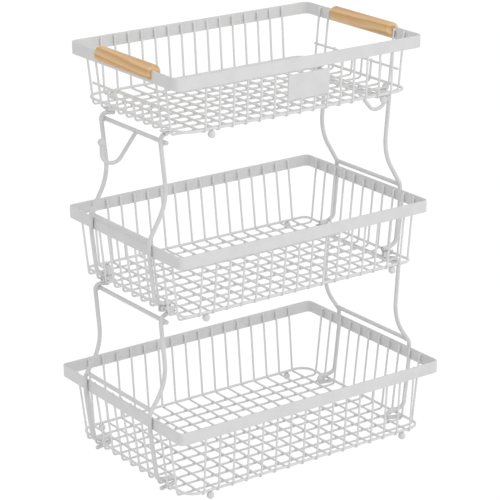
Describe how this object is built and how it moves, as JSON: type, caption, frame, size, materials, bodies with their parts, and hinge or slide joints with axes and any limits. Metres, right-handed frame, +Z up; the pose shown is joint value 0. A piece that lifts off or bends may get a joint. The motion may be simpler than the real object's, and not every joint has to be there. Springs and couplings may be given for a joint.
{
  "type": "tiered fruit basket",
  "caption": "Tiered fruit basket: open wire baskets with flat rims, stacked on lift-out side frames, with wooden handles, banana hooks and ball feet.",
  "frame": {"origin": "on the table, under the middle of the bottom basket", "axes": "+X along the long side towards the right end, +Y towards the back, +Z up"},
  "size_m": [0.4406, 0.282, 0.5385],
  "materials": {
    "wire": "semi-gloss white powder coat on steel wire",
    "rim_strip": "semi-gloss white powder coat on steel strip",
    "ball_foot": "semi-gloss white powder coat on steel ball",
    "bracket": "semi-gloss white powder coat on folded steel",
    "handle_wood": "clear-coated light wood",
    "rail_wire": "semi-gloss white powder coat on steel wire",
    "plate": "semi-gloss white powder coat on steel plate",
    "hook_rod": "semi-gloss white powder coat on steel rod",
    "frame_rod": "semi-gloss white powder coat on steel rod"
  },
  "bodies": {
    "bottom_basket": {"bottom_basket_cage": "wire", "bottom_basket_rim": "rim_strip", "bottom_ball_foot_front_left": "ball_foot", "bottom_ball_foot_front_right": "ball_foot", "bottom_ball_foot_back_left": "ball_foot", "bottom_ball_foot_back_right": "ball_foot", "bottom_bracket_front_left": "bracket", "bottom_bracket_front_right": "bracket", "bottom_bracket_back_left": "bracket", "bottom_bracket_back_right": "bracket"},
    "lower_left_frame": {"lower_left_upright_front": "frame_rod", "lower_left_upright_back": "frame_rod", "lower_left_top_bar": "frame_rod", "lower_left_rim_bar": "frame_rod"},
    "lower_right_frame": {"lower_right_upright_front": "frame_rod", "lower_right_upright_back": "frame_rod", "lower_right_top_bar": "frame_rod", "lower_right_rim_bar": "frame_rod"},
    "middle_basket": {"middle_basket_cage": "wire", "middle_basket_rim": "rim_strip", "middle_ball_foot_front_left": "ball_foot", "middle_ball_foot_front_right": "ball_foot", "middle_ball_foot_back_left": "ball_foot", "middle_ball_foot_back_right": "ball_foot", "middle_bracket_front_left": "bracket", "middle_bracket_front_right": "bracket", "middle_bracket_back_left": "bracket", "middle_bracket_back_right": "bracket"},
    "upper_left_frame": {"upper_left_upright_front": "frame_rod", "upper_left_upright_back": "frame_rod", "upper_left_top_bar": "frame_rod", "upper_left_rim_bar": "frame_rod", "banana_hook_left": "hook_rod"},
    "upper_right_frame": {"upper_right_upright_front": "frame_rod", "upper_right_upright_back": "frame_rod", "upper_right_top_bar": "frame_rod", "upper_right_rim_bar": "frame_rod", "banana_hook_right": "hook_rod"},
    "top_basket": {"top_basket_cage": "wire", "top_basket_rim": "rim_strip", "top_ball_foot_front_left": "ball_foot", "top_ball_foot_front_right": "ball_foot", "top_ball_foot_back_left": "ball_foot", "top_ball_foot_back_right": "ball_foot", "top_bracket_front_left": "bracket", "top_bracket_front_right": "bracket", "top_bracket_back_left": "bracket", "top_bracket_back_right": "bracket", "handle_left": "handle_wood", "handle_right": "handle_wood", "hand_opening_rail_left": "rail_wire", "hand_opening_rail_right": "rail_wire", "label_plate": "plate"}
  },
  "joints": [
    {"name": "lower_left_frame_pull", "type": "slide", "parent": "bottom_basket", "child": "lower_left_frame", "axis": [-1, 0, 0], "range_m": [0, 0.03]},
    {"name": "lower_right_frame_pull", "type": "slide", "parent": "bottom_basket", "child": "lower_right_frame", "axis": [1, 0, 0], "range_m": [0, 0.03]},
    {"name": "middle_basket_lift", "type": "slide", "parent": "bottom_basket", "child": "middle_basket", "axis": [0, 0, 1], "range_m": [0, 0.06]},
    {"name": "upper_left_frame_pull", "type": "slide", "parent": "middle_basket", "child": "upper_left_frame", "axis": [-1, 0, 0], "range_m": [0, 0.03]},
    {"name": "upper_right_frame_pull", "type": "slide", "parent": "middle_basket", "child": "upper_right_frame", "axis": [1, 0, 0], "range_m": [0, 0.03]},
    {"name": "top_basket_lift", "type": "slide", "parent": "middle_basket", "child": "top_basket", "axis": [0, 0, 1], "range_m": [0, 0.06]}
  ]
}
